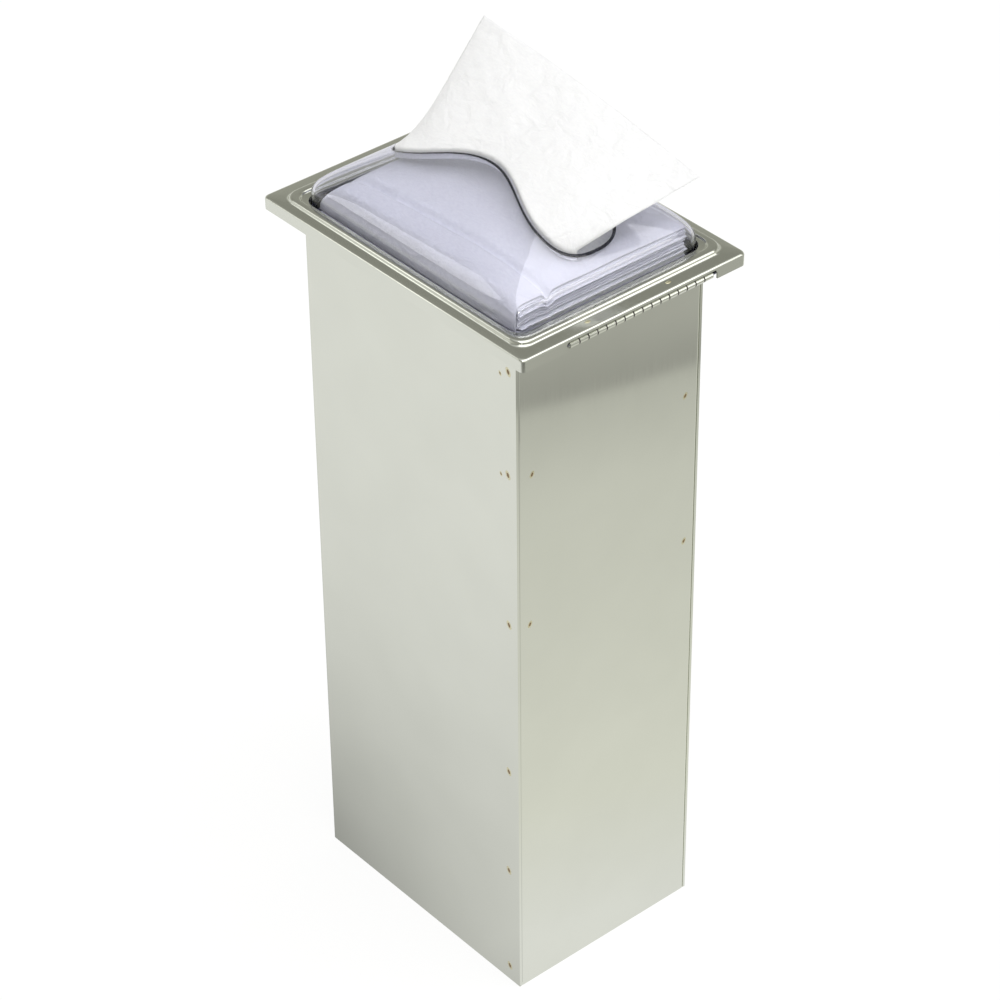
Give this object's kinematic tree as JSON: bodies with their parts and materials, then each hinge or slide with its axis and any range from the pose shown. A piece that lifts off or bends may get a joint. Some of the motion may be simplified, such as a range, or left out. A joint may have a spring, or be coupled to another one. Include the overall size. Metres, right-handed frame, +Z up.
{
  "type": "napkin dispenser",
  "caption": "Drop-in napkin dispenser: tall sheet-steel well, flanged hinged cover with a clear slotted dome, and a spring-lifted follower under a stack of folded napkins.",
  "frame": {"origin": "bottom centre of the housing, on its flat underside", "axes": "+Z up out of the counter; X along the long side, with the cover's hinge on the +X side; Y across"},
  "size_m": [0.218, 0.159, 0.5533],
  "materials": {
    "stainless_sheet": "satin stainless sheet, cold rolled",
    "plated_steel": "bright plated steel wire and fasteners",
    "clear_polycarbonate": "clear moulded polycarbonate with a faint blue cast",
    "natural_nylon": "natural nylon",
    "tissue_paper": "soft white tissue",
    "tissue_stack": "pressed stack of folded white tissue"
  },
  "bodies": {
    "housing": {"housing_wrap": "stainless_sheet", "hinge_side_panel": "stainless_sheet", "bottom_pan": "stainless_sheet", "counter_flange": "stainless_sheet", "hinge_fixed_leaf": "stainless_sheet", "hinge_pin": "plated_steel", "lower_spring_cup": "plated_steel", "top_napkins": "tissue_stack"},
    "cover": {"cover_frame": "stainless_sheet", "dome_window": "clear_polycarbonate", "dome_retainer": "stainless_sheet", "hinge_moving_leaf": "stainless_sheet", "catch_bracket": "stainless_sheet", "weld_stud_1": "plated_steel", "weld_stud_2": "plated_steel", "weld_stud_3": "plated_steel", "weld_stud_4": "plated_steel", "weld_stud_5": "plated_steel", "weld_stud_6": "plated_steel", "stud_nut_1": "plated_steel", "stud_nut_2": "plated_steel", "stud_nut_3": "plated_steel", "stud_nut_4": "plated_steel", "stud_nut_5": "plated_steel", "stud_nut_6": "plated_steel"},
    "catch": {"catch_tongue": "plated_steel"},
    "follower": {"follower_plate": "stainless_sheet", "upper_spring_cup": "plated_steel", "follower_spring": "plated_steel", "napkin_stack": "tissue_stack", "glide_pad_1": "natural_nylon", "glide_pad_2": "natural_nylon", "glide_pad_3": "natural_nylon", "glide_pad_4": "natural_nylon"},
    "napkin": {"dispensed_napkin": "tissue_paper"}
  },
  "joints": [
    {"name": "cover_hinge", "type": "hinge", "parent": "housing", "child": "cover", "pos_m": [0.1071, 0.0045, 0.4589], "axis": [0, 1, 0], "range_deg": [0, 100]},
    {"name": "catch_flex", "type": "hinge", "parent": "cover", "child": "catch", "pos_m": [-0.0852, 0.017, 0.4581], "axis": [0, -1, 0], "range_deg": [0, 6], "stiffness_Nm_per_rad": 0.5},
    {"name": "follower_lift", "type": "slide", "parent": "housing", "child": "follower", "axis": [0, 0, 1], "range_m": [0, 0.385], "stiffness_N_per_m": 60, "springref_m": 0.4459, "deforming": ["follower_spring", "napkin_stack"]},
    {"name": "napkin_pull", "type": "slide", "parent": "cover", "child": "napkin", "axis": [0, 0, 1], "range_m": [0, 0.06]}
  ]
}
